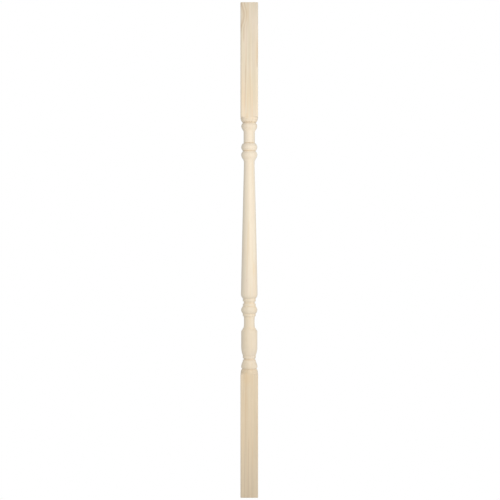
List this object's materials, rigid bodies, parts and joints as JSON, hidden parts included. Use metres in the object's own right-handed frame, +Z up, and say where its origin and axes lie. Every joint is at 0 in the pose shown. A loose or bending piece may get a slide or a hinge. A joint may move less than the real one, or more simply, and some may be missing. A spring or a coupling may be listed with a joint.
{
  "type": "stair spindle",
  "caption": "Turned softwood stair spindle, bare and unfinished, with square blocks at foot and head, an urn, beads and a long tapering shaft between them",
  "frame": {"origin": "middle of the foot's sawn end", "axes": "+Z runs up the length from foot to head; +X and +Y are square to the planed faces"},
  "size_m": [0.032, 0.032, 0.9],
  "materials": {
    "pine": "bare, planed and turned"
  },
  "bodies": {
    "root": {"spindle": "pine"}
  },
  "joints": []
}
